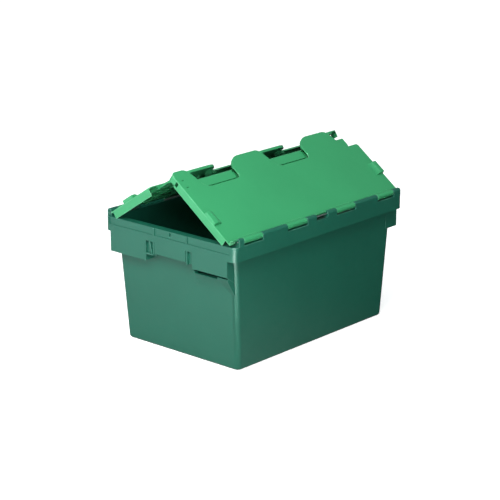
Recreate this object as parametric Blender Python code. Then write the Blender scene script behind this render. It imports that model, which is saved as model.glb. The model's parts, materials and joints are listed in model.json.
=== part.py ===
"""Attached lid tote: a tapered nesting tub with two interlocking lids, each hinged on a steel rod.

X runs along the long sides, Y across, Z up. The origin is the middle of the underside.
The tote looks the same after half a turn about Z, so each end and each lid is made once and copied
round. The lids stand part open, leaning towards each other like a tent.
"""

import math

import bmesh
import bpy
from mathutils import Matrix, Vector

# Overall sizes, in metres.
TOTE_LENGTH = 0.600
TOTE_WIDTH = 0.400
RIM_TOP = 0.2995

# Tub: outer half sizes follow from these insets from the rim.
BASE_INSET_X = 0.0395
BASE_INSET_Y = 0.0255
SHOULDER_INSET_X = 0.0180
SHOULDER_INSET_Y = 0.0150
TUB_CORNER_RADIUS = 0.014
TUB_EDGE_RADIUS = 0.006
WALL = 0.003
FLOOR = 0.003

# Rim: a flat ledge round the mouth with a band hanging from its outer edge.
LEDGE_THICKNESS = 0.0035
BAND_HEIGHT = 0.0335
BAND_THICKNESS = 0.003
RIM_CORNER_RADIUS = 0.014
RIB_THICKNESS = 0.0025
RIB_INSET = 0.0005
EMBED = 0.001
SIDE_RIB_PITCH = 0.080
SIDE_RIB_RISE = 0.004

# Ends: skirt panels below the band, as (start, stop, depth below the rim top) along Y.
GRIP_PANEL = (0.070, 0.184, 0.0815)
MIDDLE_PANEL = (-0.053, 0.042, 0.0605)
SHALLOW_PANEL = (-0.178, -0.073, 0.0715)
APRON_DROP = 0.004
APRON_SETBACK = 0.002
APRON_LIP = 0.003
APRON_HEIGHT = 0.045
APRON_DIP = (-0.147, -0.080, 0.005)
GUSSET_LENGTH = 0.056

# Ends: recessed webs between the panels, each with one upright rib, as (start, stop, depth) along Y.
GRIP_WEB = (0.041, 0.071, 0.066)
SHALLOW_WEB = (-0.074, -0.052, 0.062)
WEB_SETBACK = 0.0025
WEB_RIB_WIDTH = 0.005
WEB_RIB_GAP = 0.0045
WEB_RIB_SETBACK = 0.00025
BRACE_TOP = 0.015
BRACE_LEAN = 0.010
FLANGE_SEAT_INSET = 0.003
FLANGE_SEAT_HEIGHT = 0.017
FLANGE_SEAT_END = 0.014
SEAL_HOLE_SIZE = (0.004, 0.008)
SEAL_HOLE_Y = -0.005
SEAL_HOLE_DROP = 0.007

# Hinges.
AXIS_INSET = 0.007
AXIS_HEIGHT = 0.0095
BARREL_RADIUS = 0.007
KNUCKLE_RADIUS = 0.0062
KNUCKLE_ROOT = 0.0021
ROD_RADIUS = 0.002
ROD_CLEARANCE = 0.0006
ROD_END_INSET = 0.019
END_KNUCKLE_INSET = 0.018
FAR_KNUCKLE_INSET = 0.008
OUTER_KNUCKLE_INSET = 0.035
OUTER_KNUCKLE_LENGTH = 0.060
INNER_KNUCKLE_START = 0.053
INNER_KNUCKLE_LENGTH = 0.067
TAB_HALF_WIDTH = 0.018
TAB_GAP = 0.002
TAB_RADIUS = 0.0076
TAB_THICKNESS = 0.003
TAB_SPAN = (math.radians(-65.0), math.radians(75.0))
SILL_HEIGHT = 0.0035
SILL_THICKNESS = 0.0015
SILL_SETBACK = 0.0001
KNUCKLE_GAP = 0.0008
OPENING_LIMIT_GAP = 0.004

# Lids, in the closed position: distances across are measured from the hinge axis.
PLATE_DROP = 0.0055
PLATE_THICKNESS = 0.003
END_GAP = 0.0002
MEETING_GAP = 0.001
FINGER_HALF_OVERLAP = 0.030
FLANGE_DEPTH = 0.020
FLANGE_TIP_DEPTH = 0.0165
FLANGE_THICKNESS = 0.0025
FLANGE_HEEL = 0.018
FLANGE_WINDOW = (0.1895, 0.1975)
FLANGE_WINDOW_TOP = 0.0035
FLANGE_WINDOW_BOTTOM = 0.0145
BOSS_START = 0.061
BOSS_LENGTH = 0.036
BOSS_WIDTH = 0.013
BOSS_HEIGHT = 0.008
TONGUE_DROP = 0.008
TONGUE_THICKNESS = 0.0025
TONGUE_REACH = 0.0305
END_TONGUE_EDGE = 0.2765
RISER_THICKNESS = 0.0025
RISER_SETBACK = 0.0003
FINGER_LIP_DEPTH = 0.0065
FINGER_LIP_THICKNESS = 0.002
END_LIP_INSET = 0.022
STRAIGHT_SIDE = 0.1213
SLANTED_SIDE = 0.2430
SIDE_GAP = 0.0015
SLANT = 0.30
LEADING_RADIUS = 0.040
SLANTED_RADIUS = 0.020
HEEL_RADIUS = 0.013
PLATE_CORNER_RADIUS = 0.006
SEAL_SLOT_LENGTH = 0.007
SEAL_SLOT_WIDTH = 0.002
SEAL_SLOT_INSET = 0.011
SEAL_SLOT_STEP = 0.020

# Rest position of each lid above closed.
FRONT_LID_ANGLE = math.radians(36.5)
BACK_LID_ANGLE = math.radians(33.2)

# Values that follow from the ones above.
HALF_LENGTH = TOTE_LENGTH / 2
HALF_WIDTH = TOTE_WIDTH / 2
AXIS_Y = HALF_WIDTH - AXIS_INSET
AXIS_Z = RIM_TOP + AXIS_HEIGHT
FINGER_TIP = AXIS_Y + FINGER_HALF_OVERLAP - MEETING_GAP
FINGER_ROOT = AXIS_Y - FINGER_HALF_OVERLAP - MEETING_GAP
PLATE_START = BARREL_RADIUS + OPENING_LIMIT_GAP
PLATE_BOTTOM = -PLATE_DROP - PLATE_THICKNESS
LID_HALF_LENGTH = HALF_LENGTH - END_GAP
SEAT_FLOOR = RIM_TOP - FLANGE_SEAT_HEIGHT
ARC_STEPS = 6


def clear_scene():
    """Remove every object of the open file."""
    for obj in list(bpy.data.objects):
        bpy.data.objects.remove(obj, do_unlink=True)


def new_collection(name, hidden=False):
    """Make a collection in the scene, hidden from renders when it holds cutters."""
    collection = bpy.data.collections.new(name)
    bpy.context.scene.collection.children.link(collection)
    collection.hide_render = hidden
    return collection


def new_material(name, colour, roughness, metallic=0.0):
    """Make a Principled material with one colour."""
    material = bpy.data.materials.new(name)
    material.use_nodes = True
    shader = material.node_tree.nodes["Principled BSDF"]
    shader.inputs["Base Color"].default_value = (*colour, 1.0)
    shader.inputs["Roughness"].default_value = roughness
    shader.inputs["Metallic"].default_value = metallic
    return material


def add_object(name, bm, collection):
    """Turn a bmesh into a named object of a collection."""
    mesh = bpy.data.meshes.new(name)
    bm.to_mesh(mesh)
    bm.free()
    obj = bpy.data.objects.new(name, mesh)
    collection.objects.link(obj)
    return obj


def add_box(name, low, high, collection):
    """Make a box between two corners."""
    bm = bmesh.new()
    low, high = Vector(low), Vector(high)
    place = Matrix.Translation((low + high) / 2) @ Matrix.Diagonal((*(high - low), 1.0))
    bmesh.ops.create_cube(bm, size=1.0, matrix=place)
    return add_object(name, bm, collection)


def add_bar(name, start, stop, y, z, radius, segments, collection):
    """Make a round bar along X."""
    bm = bmesh.new()
    place = Matrix.Translation(((start + stop) / 2, y, z)) @ Matrix.Rotation(math.pi / 2, 4, "Y")
    bmesh.ops.create_cone(
        bm,
        cap_ends=True,
        segments=segments,
        radius1=radius,
        radius2=radius,
        depth=stop - start,
        matrix=place,
    )
    return add_object(name, bm, collection)


def add_tapered_block(name, base, top, low, high, corner_radius, edge_radius, collection):
    """Make a block that widens from its base to its top, with round upright and bottom edges."""
    bm = bmesh.new()
    bmesh.ops.create_cube(bm, size=2.0)
    for vert in bm.verts:
        half = top if vert.co.z > 0 else base
        height = high if vert.co.z > 0 else low
        vert.co = Vector((vert.co.x * half[0], vert.co.y * half[1], height))
    upright = [e for e in bm.edges if abs(e.verts[0].co.z - e.verts[1].co.z) > (high - low) / 2]
    bmesh.ops.bevel(bm, geom=upright, offset=corner_radius, segments=ARC_STEPS, profile=0.5, affect="EDGES")
    bottom = [e for e in bm.edges if all(v.co.z < low + edge_radius / 2 for v in e.verts)]
    bmesh.ops.bevel(bm, geom=bottom, offset=edge_radius, segments=2, profile=0.5, affect="EDGES")
    bmesh.ops.recalc_face_normals(bm, faces=bm.faces)
    return add_object(name, bm, collection)


def rounded_outline(corners):
    """Points of a closed outline whose corners (x, y, radius) are rounded with arcs."""
    points = []
    count = len(corners)
    for index, (x, y, radius) in enumerate(corners):
        here = Vector((x, y))
        before = (Vector(corners[index - 1][:2]) - here).normalized()
        after = (Vector(corners[(index + 1) % count][:2]) - here).normalized()
        if radius == 0:
            points.append(here)
            continue
        half_angle = before.angle(after) / 2
        centre = here + (before + after).normalized() * radius / math.sin(half_angle)
        first = here + before * radius / math.tan(half_angle) - centre
        last = here + after * radius / math.tan(half_angle) - centre
        turn = first.angle_signed(last)
        for step in range(ARC_STEPS + 1):
            points.append(centre + Matrix.Rotation(-turn * step / ARC_STEPS, 2) @ first)
    return points


def rectangle(half_x, half_y, radius):
    """Corners of a rounded rectangle about the origin."""
    signs = ((-1, -1), (1, -1), (1, 1), (-1, 1))
    return rounded_outline([(sx * half_x, sy * half_y, radius) for sx, sy in signs])


def add_prism(name, outlines, low, high, collection, along="Z"):
    """Extrude flat outlines between two stops along an axis; a second outline is a hole in the first.

    An outline's points are (x, y) along Z, (y, z) along X and (x, z) along Y.
    """
    curve = bpy.data.curves.new(name + "_outline", "CURVE")
    curve.dimensions = "2D"
    curve.fill_mode = "BOTH"
    curve.extrude = (high - low) / 2
    for points in outlines:
        spline = curve.splines.new("POLY")
        spline.points.add(len(points) - 1)
        for target, point in zip(spline.points, points):
            target.co = (point.x, point.y, 0.0, 1.0)
        spline.use_cyclic_u = True
    guide = bpy.data.objects.new(name + "_outline", curve)
    middle = (low + high) / 2
    turns = {
        "X": Matrix(((0, 0, 1), (1, 0, 0), (0, 1, 0))).to_4x4(),
        "Y": Matrix(((1, 0, 0), (0, 0, -1), (0, 1, 0))).to_4x4(),
        "Z": Matrix.Identity(4),
    }
    away = -1 if along == "Y" else 1
    guide.matrix_world = turns[along] @ Matrix.Translation((0.0, 0.0, away * middle))
    collection.objects.link(guide)
    bpy.context.view_layer.update()
    evaluated = guide.evaluated_get(bpy.context.evaluated_depsgraph_get())
    mesh = bpy.data.meshes.new_from_object(evaluated)
    bm = bmesh.new()
    bm.from_mesh(mesh)
    bmesh.ops.remove_doubles(bm, verts=bm.verts, dist=0.000001)
    bmesh.ops.recalc_face_normals(bm, faces=bm.faces)
    bmesh.ops.transform(bm, matrix=guide.matrix_world, verts=bm.verts)
    bpy.data.objects.remove(guide, do_unlink=True)
    bpy.data.meshes.remove(mesh)
    return add_object(name, bm, collection)


def half_turn(obj, collection):
    """Copy a helper to the opposite side by half a turn about Z."""
    copy = bpy.data.objects.new(obj.name + "_opposite", obj.data)
    copy.matrix_world = Matrix.Rotation(math.pi, 4, "Z") @ obj.matrix_world
    collection.objects.link(copy)
    return copy


def combine(obj, additions, cuts):
    """Join one helper collection to a piece, cut another from it, and keep the result as its mesh."""
    for label, operation, collection in (("join", "UNION", additions), ("cut", "DIFFERENCE", cuts)):
        if not collection.objects:
            continue
        modifier = obj.modifiers.new(label, "BOOLEAN")
        modifier.operation = operation
        modifier.operand_type = "COLLECTION"
        modifier.collection = collection
        modifier.solver = "EXACT"
    bpy.context.view_layer.update()
    evaluated = obj.evaluated_get(bpy.context.evaluated_depsgraph_get())
    mesh = bpy.data.meshes.new_from_object(evaluated)
    obj.modifiers.clear()
    obj.data = mesh
    bm = bmesh.new()
    bm.from_mesh(mesh)
    bmesh.ops.remove_doubles(bm, verts=bm.verts, dist=0.000005)
    bmesh.ops.dissolve_limit(bm, angle_limit=math.radians(0.1), verts=bm.verts, edges=bm.edges)
    bmesh.ops.triangulate(bm, faces=bm.faces)
    bm.to_mesh(mesh)
    bm.free()
    for helper in list(additions.objects) + list(cuts.objects):
        helper.hide_render = True
        helper.hide_viewport = True
        helper.display_type = "WIRE"


def tub_half_sizes(height, inset=0.0):
    """Outer half sizes of the tub at a height, less an inset."""
    share = height / RIM_TOP
    half_x = HALF_LENGTH - BASE_INSET_X + (BASE_INSET_X - SHOULDER_INSET_X) * share
    half_y = HALF_WIDTH - BASE_INSET_Y + (BASE_INSET_Y - SHOULDER_INSET_Y) * share
    return half_x - inset, half_y - inset


def lid_knuckles():
    """Stretches of X that the lid's knuckles take, from one end to the other."""
    outer = HALF_LENGTH - OUTER_KNUCKLE_INSET
    inner = INNER_KNUCKLE_START + INNER_KNUCKLE_LENGTH
    right = [(INNER_KNUCKLE_START, inner), (outer - OUTER_KNUCKLE_LENGTH, outer)]
    left = [(-stop, -start) for start, stop in reversed(right)]
    return left + right


def body_knuckles():
    """Stretches of X that the body's knuckles take, between the lid's and beside its centre tab."""
    taken = lid_knuckles()
    taken.insert(2, (-TAB_HALF_WIDTH - TAB_GAP + KNUCKLE_GAP, TAB_HALF_WIDTH + TAB_GAP - KNUCKLE_GAP))
    ends = [-HALF_LENGTH + END_KNUCKLE_INSET]
    for start, stop in taken:
        ends += [start - KNUCKLE_GAP, stop + KNUCKLE_GAP]
    ends.append(HALF_LENGTH - FAR_KNUCKLE_INSET)
    return list(zip(ends[0::2], ends[1::2]))


def add_apron(additions, cuts):
    """Add the wedge below the shallow panel, which leaves a stepped slot under the panel."""
    start, stop, depth = SHALLOW_PANEL
    top = RIM_TOP - depth - APRON_DROP
    outer = HALF_LENGTH - APRON_SETBACK
    low = top - APRON_HEIGHT
    inner_top = tub_half_sizes(top, WALL / 2)[0]
    inner_low = tub_half_sizes(low, WALL / 2)[0]
    corners = [(top, outer), (top, inner_top), (low, inner_low), (top - APRON_LIP, outer)]
    profile = [Vector((-x, z)) for z, x in corners]
    dip_start, dip_stop, dip_depth = APRON_DIP
    dip = add_box(
        "apron_dip_cutter",
        (-outer - EMBED, dip_start, top - dip_depth),
        (-inner_top - WALL, dip_stop, top + EMBED),
        cuts,
    )
    half_turn(dip, cuts)
    return add_prism("apron", [profile], start, stop, additions, along="Y")


def add_gusset(additions):
    """Add the upright gusset beside the rim corner, which tapers into the wall below the panels."""
    y = SHALLOW_PANEL[0] + RIB_INSET
    top, knee = RIM_TOP - BAND_HEIGHT + EMBED, RIM_TOP - SHALLOW_PANEL[2]
    low = top - GUSSET_LENGTH
    outer = HALF_LENGTH - 2 * RIB_INSET
    inner_top = tub_half_sizes(top, WALL / 2)[0]
    inner_low = tub_half_sizes(low, WALL / 2)[0]
    profile = [Vector((-x, z)) for x, z in ((outer, top), (inner_top, top), (inner_low, low), (outer, knee))]
    return add_prism("corner_gusset", [profile], y, y + RIB_THICKNESS, additions, along="Y")


def add_webs(additions):
    """Add the recessed webs between the panels, with their upright ribs and one leaning brace."""
    face = -HALF_LENGTH
    top = SEAT_FLOOR + EMBED
    helpers = []
    for name, (start, stop, depth), rib_start in (
        ("grip_web", GRIP_WEB, MIDDLE_PANEL[1] + EMBED),
        ("shallow_web", SHALLOW_WEB, MIDDLE_PANEL[0] - WEB_RIB_GAP - WEB_RIB_WIDTH / 2),
    ):
        bottom = RIM_TOP - depth
        helpers.append(
            add_box(
                name,
                (face + WEB_SETBACK, start, bottom),
                (face + WEB_SETBACK + BAND_THICKNESS, stop, top),
                additions,
            )
        )
        helpers.append(
            add_box(
                f"{name}_rib",
                (face + WEB_RIB_SETBACK, rib_start, bottom + EMBED),
                (face + 2 * WEB_SETBACK, rib_start + WEB_RIB_WIDTH, top + EMBED / 2),
                additions,
            )
        )
    inner = GRIP_WEB[0] + WEB_RIB_WIDTH + EMBED
    bottom, high = RIM_TOP - GRIP_WEB[2] + 2 * EMBED, RIM_TOP - BRACE_TOP
    slab = bmesh.new()
    bmesh.ops.create_cube(slab, size=1.0)
    for vert in slab.verts:
        up, across, out = vert.co.z > 0, vert.co.y > 0, vert.co.x < 0
        y = inner + (BRACE_LEAN if up else 0.0) + (RIB_THICKNESS if across else 0.0)
        vert.co = Vector((face + (RIB_INSET if out else 2 * WEB_SETBACK), y, high if up else bottom))
    helpers.append(add_object("grip_web_brace", slab, additions))
    return helpers


def add_end_details(additions, cuts):
    """Model the end at -X: its band, skirt panels, lip, ribs and flange seat."""
    outer = -HALF_LENGTH
    wall_at = -tub_half_sizes(0.0)[0]
    seat_end = HALF_WIDTH - FLANGE_SEAT_END
    helpers = [
        add_box(
            "end_upper_wall",
            (outer + EMBED, -seat_end - EMBED, RIM_TOP - BAND_HEIGHT + 2 * EMBED),
            (outer + FLANGE_SEAT_INSET + BAND_THICKNESS, seat_end + EMBED, RIM_TOP - EMBED),
            additions,
        )
    ]
    for name, (start, stop, depth) in (
        ("grip_panel", GRIP_PANEL),
        ("middle_panel", MIDDLE_PANEL),
        ("shallow_panel", SHALLOW_PANEL),
    ):
        bottom = RIM_TOP - depth
        helpers.append(
            add_box(
                name,
                (outer, start, bottom),
                (outer + BAND_THICKNESS, stop, SEAT_FLOOR + EMBED),
                additions,
            )
        )
        for side, rib_start in (
            ("low", start + RIB_INSET),
            ("high", stop - RIB_INSET - RIB_THICKNESS),
        ):
            helpers.append(
                add_box(
                    f"{name}_{side}_rib",
                    (outer + BAND_THICKNESS / 2, rib_start, bottom + RIB_INSET),
                    (wall_at + WALL, rib_start + RIB_THICKNESS, RIM_TOP - 2 * EMBED),
                    additions,
                )
            )
    helpers += [add_apron(additions, cuts), add_gusset(additions)] + add_webs(additions)
    for helper in helpers:
        half_turn(helper, additions)
    seat = add_box(
        "flange_seat_cutter",
        (outer - BAND_THICKNESS, -seat_end, SEAT_FLOOR),
        (outer + FLANGE_SEAT_INSET, seat_end, RIM_TOP + LEDGE_THICKNESS),
        cuts,
    )
    across, tall = SEAL_HOLE_SIZE
    seal = add_box(
        "seal_hole_cutter",
        (outer - FLANGE_SEAT_INSET, SEAL_HOLE_Y - across / 2, RIM_TOP - SEAL_HOLE_DROP - tall / 2),
        (
            outer + FLANGE_SEAT_INSET + 2 * BAND_THICKNESS,
            SEAL_HOLE_Y + across / 2,
            RIM_TOP - SEAL_HOLE_DROP + tall / 2,
        ),
        cuts,
    )
    half_turn(seat, cuts)
    half_turn(seal, cuts)


def add_long_side_details(additions, cuts):
    """Model the long side at -Y: hinge knuckles on the rim and ribs under it."""
    front, back = -HALF_WIDTH, -AXIS_Y + BARREL_RADIUS
    low, high = RIM_TOP - KNUCKLE_ROOT, AXIS_Z + BARREL_RADIUS
    profile = rounded_outline(
        [(front, low, 0), (back, low, 0), (back, high, KNUCKLE_RADIUS), (front, high, KNUCKLE_RADIUS)]
    )
    for number, (start, stop) in enumerate(body_knuckles(), 1):
        knuckle = add_prism(f"body_knuckle_{number}", [profile], start, stop, additions, along="X")
        half_turn(knuckle, additions)
    bore = add_bar(
        "rod_bore_cutter",
        -HALF_LENGTH,
        HALF_LENGTH,
        -AXIS_Y,
        AXIS_Z,
        ROD_RADIUS + ROD_CLEARANCE,
        16,
        cuts,
    )
    half_turn(bore, cuts)
    sill = add_box(
        "tab_sill",
        (-TAB_HALF_WIDTH - 2 * TAB_GAP, -HALF_WIDTH + SILL_SETBACK, RIM_TOP - 2 * EMBED),
        (TAB_HALF_WIDTH + 2 * TAB_GAP, -HALF_WIDTH + SILL_THICKNESS, RIM_TOP + SILL_HEIGHT),
        additions,
    )
    half_turn(sill, additions)
    rib_count = int((TOTE_LENGTH - 4 * RIM_CORNER_RADIUS) / SIDE_RIB_PITCH)
    for number in range(rib_count):
        middle = (number - (rib_count - 1) / 2) * SIDE_RIB_PITCH
        rib = add_box(
            f"side_rib_{number + 1}",
            (
                middle - RIB_THICKNESS / 2,
                -HALF_WIDTH + BAND_THICKNESS / 2,
                RIM_TOP - BAND_HEIGHT + SIDE_RIB_RISE,
            ),
            (middle + RIB_THICKNESS / 2, -HALF_WIDTH + BASE_INSET_Y + WALL, RIM_TOP - 2 * EMBED),
            additions,
        )
        half_turn(rib, additions)


def make_body(parts, helpers, material):
    """Make the tub with its rim, end skirts and hinge knuckles."""
    additions, cuts = helpers("body_additions"), helpers("body_cutters")
    shoulder = RIM_TOP - LEDGE_THICKNESS / 2
    body = add_tapered_block(
        "container_body",
        tub_half_sizes(0.0),
        tub_half_sizes(shoulder),
        0.0,
        shoulder,
        TUB_CORNER_RADIUS,
        TUB_EDGE_RADIUS,
        parts,
    )
    add_prism(
        "rim_ledge",
        [rectangle(HALF_LENGTH, HALF_WIDTH, RIM_CORNER_RADIUS)],
        RIM_TOP - LEDGE_THICKNESS,
        RIM_TOP,
        additions,
    )
    add_prism(
        "rim_band",
        [
            rectangle(HALF_LENGTH, HALF_WIDTH, RIM_CORNER_RADIUS),
            rectangle(
                HALF_LENGTH - BAND_THICKNESS,
                HALF_WIDTH - BAND_THICKNESS,
                RIM_CORNER_RADIUS - BAND_THICKNESS,
            ),
        ],
        RIM_TOP - BAND_HEIGHT,
        RIM_TOP - LEDGE_THICKNESS / 2,
        additions,
    )
    add_end_details(additions, cuts)
    add_long_side_details(additions, cuts)
    above = RIM_TOP + AXIS_HEIGHT
    add_tapered_block(
        "cavity_cutter",
        tub_half_sizes(FLOOR, WALL),
        tub_half_sizes(above, WALL),
        FLOOR,
        above,
        TUB_CORNER_RADIUS - WALL,
        TUB_EDGE_RADIUS,
        cuts,
    )
    combine(body, additions, cuts)
    body.data.materials.clear()
    body.data.materials.append(material)
    return body


def slanted(middle, across):
    """X of a slanted finger side at a distance across the lid."""
    return middle - SLANT * (across - AXIS_Y)


def lid_outline():
    """Outline of the lid plate: straight along the hinge, three fingers along the meeting edge."""
    half_gap = SIDE_GAP / 2
    tip, root, end = FINGER_TIP, FINGER_ROOT, LID_HALF_LENGTH
    straight_b, straight_c = -STRAIGHT_SIDE + half_gap, STRAIGHT_SIDE + half_gap
    corners = [
        (-end, PLATE_START, 0),
        (end, PLATE_START, 0),
        (end, root, PLATE_CORNER_RADIUS),
        (slanted(SLANTED_SIDE - half_gap, root), root, PLATE_CORNER_RADIUS),
        (slanted(SLANTED_SIDE - half_gap, tip), tip, SLANTED_RADIUS),
        (straight_c, tip, LEADING_RADIUS),
        (straight_c, root, HEEL_RADIUS),
        (slanted(-half_gap, root), root, SLANTED_RADIUS),
        (slanted(-half_gap, tip), tip, SLANTED_RADIUS),
        (straight_b, tip, LEADING_RADIUS),
        (straight_b, root, HEEL_RADIUS),
        (slanted(-SLANTED_SIDE - half_gap, root), root, SLANTED_RADIUS),
        (slanted(-SLANTED_SIDE - half_gap, tip), tip, SLANTED_RADIUS),
        (-end, tip, PLATE_CORNER_RADIUS),
    ]
    return rounded_outline(corners)


def recess_outline(start, stop, reach, margin):
    """Outline of a recess between two fingers, grown by a margin except at its open side.

    The start is the slanted side's middle and the stop is the straight side.
    """
    root = FINGER_ROOT - margin
    low = slanted(start - SIDE_GAP / 2, root) - margin
    high = stop + SIDE_GAP / 2 + margin
    corners = [
        (slanted(start - SIDE_GAP / 2, reach) - margin, reach, 0),
        (low, root, SLANTED_RADIUS + margin),
        (high, root, HEEL_RADIUS + margin),
        (high, reach, 0),
    ]
    return rounded_outline(corners)


def add_lid_ends(additions, cuts):
    """Add the flange and stacking boss at each end of the lid, and the seal slots at one end."""
    top = -PLATE_DROP - PLATE_THICKNESS / 2
    window_start, window_stop = FLANGE_WINDOW
    long_tip = FINGER_TIP - PLATE_CORNER_RADIUS
    short_tip = FINGER_ROOT - PLATE_CORNER_RADIUS
    for name, side, start, stop, depth in (
        ("long_end_flange", -1, FLANGE_HEEL, window_stop, FLANGE_DEPTH),
        ("long_end_flange_tip", -1, window_start, long_tip, FLANGE_TIP_DEPTH),
        ("short_end_flange", 1, FLANGE_HEEL, short_tip, FLANGE_DEPTH),
    ):
        outer = side * LID_HALF_LENGTH
        inner = outer - side * FLANGE_THICKNESS
        add_box(
            name,
            (min(outer, inner), start, -PLATE_DROP - depth),
            (max(outer, inner), stop, top),
            additions,
        )
    add_box(
        "flange_window_cutter",
        (-HALF_LENGTH - EMBED, window_start, -PLATE_DROP - FLANGE_WINDOW_BOTTOM),
        (-LID_HALF_LENGTH + FLANGE_THICKNESS + EMBED, window_stop, -PLATE_DROP - FLANGE_WINDOW_TOP),
        cuts,
    )
    for name, side in (("long", -1), ("short", 1)):
        outer = side * LID_HALF_LENGTH
        inner = outer - side * BOSS_WIDTH
        add_box(
            f"{name}_end_boss",
            (min(outer, inner), BOSS_START, -PLATE_DROP - PLATE_THICKNESS / 2),
            (max(outer, inner), BOSS_START + BOSS_LENGTH, -PLATE_DROP + BOSS_HEIGHT),
            additions,
        )
    middle = AXIS_Y - SEAL_SLOT_STEP / 2
    for number, across in enumerate((middle - SEAL_SLOT_STEP / 2, middle + SEAL_SLOT_STEP / 2), 1):
        start = -LID_HALF_LENGTH + SEAL_SLOT_INSET
        add_box(
            f"seal_slot_cutter_{number}",
            (start, across, PLATE_BOTTOM - PLATE_THICKNESS),
            (start + SEAL_SLOT_LENGTH, across + SEAL_SLOT_WIDTH, 0.0),
            cuts,
        )


def add_tongues(additions):
    """Add a lowered tongue in each recess, with the wall that joins it to the plate.

    The recess at the end of the lid is open on its outer side, so its wall stops at the tongue's edge.
    """
    top = -PLATE_DROP - TONGUE_DROP
    bottom = top - TONGUE_THICKNESS
    wall_top = -PLATE_DROP - PLATE_THICKNESS / 2
    reach = FINGER_ROOT + TONGUE_REACH
    for number, (start, stop) in enumerate(
        ((-SLANTED_SIDE, -STRAIGHT_SIDE), (0.0, STRAIGHT_SIDE), (SLANTED_SIDE, END_TONGUE_EDGE)), 1
    ):
        outer = recess_outline(start, stop, reach, RISER_THICKNESS)
        inner = recess_outline(start, stop, reach, RISER_SETBACK)
        middle = recess_outline(start, stop, reach, RISER_THICKNESS / 2)
        if stop == END_TONGUE_EDGE:
            kept = ARC_STEPS + 2
            outer = outer[:kept] + [Vector((END_TONGUE_EDGE, FINGER_ROOT - RISER_THICKNESS))]
            inner = inner[:kept] + [Vector((END_TONGUE_EDGE, FINGER_ROOT - RISER_SETBACK))]
        add_prism(f"tongue_{number}", [middle], bottom, top, additions)
        add_prism(
            f"tongue_riser_{number}",
            [outer + list(reversed(inner))],
            bottom - EMBED / 2,
            wall_top,
            additions,
        )


def finger_outline(straight, middle, base, margin):
    """Outline of a finger from a base line to its tip, shrunk by a margin except at its base.

    The straight side is at one X and the slanted side passes through the middle.
    """
    tip = FINGER_TIP - margin
    low = straight + SIDE_GAP / 2 + margin
    corners = [
        (low, base, 0),
        (slanted(middle - SIDE_GAP / 2, base) - margin, base, 0),
        (slanted(middle - SIDE_GAP / 2, tip) - margin, tip, SLANTED_RADIUS - margin),
        (low, tip, LEADING_RADIUS - margin),
    ]
    return rounded_outline(corners)


def add_finger_lips(additions):
    """Add a turned-down lip round each of the two middle fingers, and under the end finger's tip."""
    low = -PLATE_DROP - FINGER_LIP_DEPTH
    high = -PLATE_DROP - PLATE_THICKNESS / 2
    base = FINGER_ROOT + TONGUE_REACH - EMBED
    margin = RISER_SETBACK + FINGER_LIP_THICKNESS
    for number, (straight, middle) in enumerate(((-STRAIGHT_SIDE, 0.0), (STRAIGHT_SIDE, SLANTED_SIDE)), 1):
        outer = finger_outline(straight, middle, base, RISER_SETBACK)
        inner = finger_outline(straight, middle, base - EMBED, margin)
        ring = outer[1:] + outer[:1] + inner[:1] + inner[:0:-1]
        add_prism(f"finger_lip_{number}", [ring], low, high, additions)
    add_box(
        "end_finger_lip",
        (-LID_HALF_LENGTH + END_LIP_INSET, FINGER_TIP - margin, low),
        (-SLANTED_SIDE - SLANTED_RADIUS, FINGER_TIP - RISER_SETBACK, high),
        additions,
    )


def tab_profile():
    """Outline, across the hinge, of a tab that curls up from the plate and round the rod."""
    inner_radius = TAB_RADIUS - TAB_THICKNESS
    first, last = TAB_SPAN
    turns = [first + (last - first) * step / (2 * ARC_STEPS) for step in range(2 * ARC_STEPS + 1)]
    outer = [Vector((TAB_RADIUS * math.cos(turn), TAB_RADIUS * math.sin(turn))) for turn in turns]
    inner = [Vector((inner_radius * math.cos(turn), inner_radius * math.sin(turn))) for turn in turns]
    return outer + inner[::-1]


def add_lid_hinge(additions, cuts):
    """Add the lid's knuckles and its two tabs that curl round the rod."""
    neck_top = -PLATE_DROP + PLATE_THICKNESS / 2
    for number, (start, stop) in enumerate(lid_knuckles(), 1):
        add_bar(f"lid_barrel_{number}", start, stop, 0.0, 0.0, BARREL_RADIUS, 20, additions)
        add_box(
            f"lid_neck_{number}",
            (start, 0.0, PLATE_BOTTOM),
            (stop, PLATE_START + PLATE_THICKNESS, neck_top),
            additions,
        )
    end_tab = -HALF_LENGTH + END_KNUCKLE_INSET - TAB_GAP
    for number, (start, stop) in enumerate(
        ((-LID_HALF_LENGTH, end_tab), (-TAB_HALF_WIDTH, TAB_HALF_WIDTH)), 1
    ):
        add_prism(f"lid_tab_{number}", [tab_profile()], start, stop, additions, along="X")
        add_box(
            f"lid_tab_foot_{number}",
            (start, (TAB_RADIUS - TAB_THICKNESS / 2) * math.cos(TAB_SPAN[0]), PLATE_BOTTOM),
            (stop, PLATE_START + PLATE_THICKNESS, -PLATE_DROP - EMBED / 2),
            additions,
        )
    bore = ROD_RADIUS + ROD_CLEARANCE
    add_bar("lid_bore_cutter", -HALF_LENGTH, HALF_LENGTH, 0.0, 0.0, bore, 16, cuts)


def make_lids(parts, helpers, material):
    """Make one lid about its hinge axis, then place it at the front and, turned round, at the back."""
    additions, cuts = helpers("lid_additions"), helpers("lid_cutters")
    front = add_prism("front_lid", [lid_outline()], PLATE_BOTTOM, -PLATE_DROP, parts)
    add_lid_ends(additions, cuts)
    add_tongues(additions)
    add_finger_lips(additions)
    add_lid_hinge(additions, cuts)
    combine(front, additions, cuts)
    front.data.materials.clear()
    front.data.materials.append(material)
    back = bpy.data.objects.new("back_lid", front.data)
    parts.objects.link(back)
    front.location = (0.0, -AXIS_Y, AXIS_Z)
    front.rotation_euler = (FRONT_LID_ANGLE, 0.0, 0.0)
    back.location = (0.0, AXIS_Y, AXIS_Z)
    back.rotation_euler = (BACK_LID_ANGLE, 0.0, math.pi)


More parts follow.
